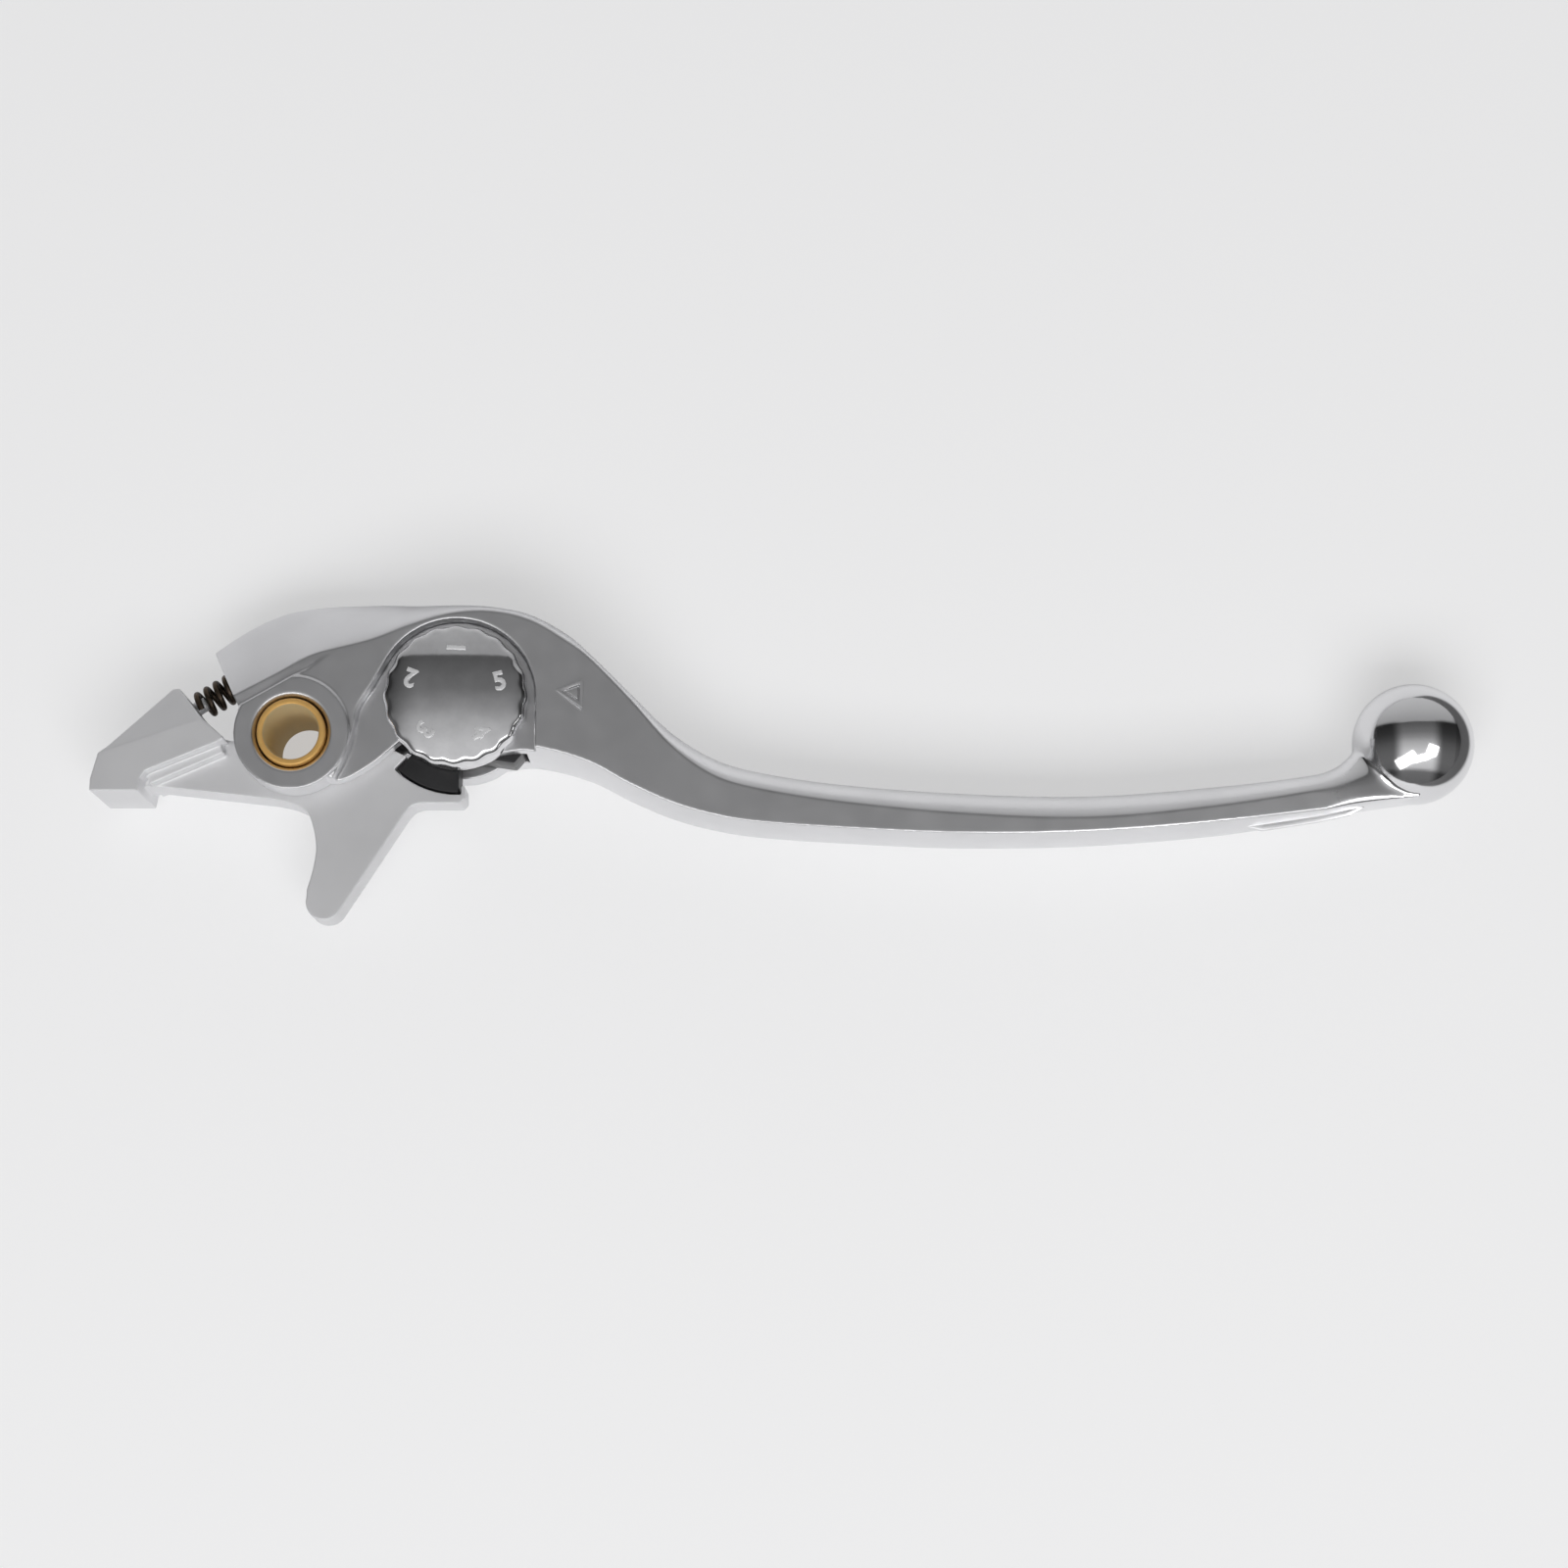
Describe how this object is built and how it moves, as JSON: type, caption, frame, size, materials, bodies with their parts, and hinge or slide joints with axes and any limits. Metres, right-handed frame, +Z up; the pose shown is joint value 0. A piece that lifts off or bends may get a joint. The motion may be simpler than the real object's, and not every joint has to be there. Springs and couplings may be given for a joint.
{
  "type": "motorcycle hand lever with reach adjuster",
  "caption": "Curved cast hand lever with a ball end, forked round a knuckle with a push finger; a numbered dial and cam set its reach from the grip.",
  "frame": {"origin": "middle of the footprint, at the height of the bush's lower end and the bottom of the ball", "axes": "+X from the pivot to the ball end, +Y away from the grip, +Z up along the pivot, on the dial's side"},
  "size_m": [0.2038, 0.0476, 0.0225],
  "materials": {
    "polished_aluminium": "tumbled and lightly polished casting",
    "cast_aluminium": "tumbled casting, satin",
    "bush_brass": "turned brass",
    "dial_chrome": "bright chrome plate",
    "black_cam": "black oxide",
    "black_pad": "matt black",
    "spring_wire": "oiled dark wire",
    "spring_steel": "plain spring steel",
    "plain_steel": "zinc-plated steel"
  },
  "bodies": {
    "bush": {"pivot_bush": "bush_brass"},
    "lever": {"lever_blade": "polished_aluminium", "return_spring": "spring_wire", "wave_washer": "spring_steel", "dial_washer": "plain_steel"},
    "dial": {"adjuster_dial": "dial_chrome", "adjuster_cam": "black_cam", "dial_circlip": "spring_steel"},
    "knuckle": {"knuckle": "cast_aluminium", "cam_pad": "black_pad"}
  },
  "joints": [
    {"name": "lever_pull", "type": "hinge", "parent": "bush", "child": "lever", "pos_m": [-0.07235, 0.00272, 0.0102], "axis": [0, 0, -1], "range_deg": [0, 20]},
    {"name": "dial_turn", "type": "hinge", "parent": "lever", "child": "dial", "pos_m": [-0.04855, 0.00812, 0.0102], "axis": [0, 0, 1], "range_deg": [0, 288]},
    {"name": "reach_swing", "type": "hinge", "parent": "lever", "child": "knuckle", "pos_m": [-0.07235, 0.00272, 0.0102], "axis": [0, 0, 1], "range_deg": [-8, 0], "deforming": ["return_spring"]}
  ],
  "couplings": [
    {"joint": "reach_swing", "follows": "dial_turn", "ratio": -0.027778}
  ]
}
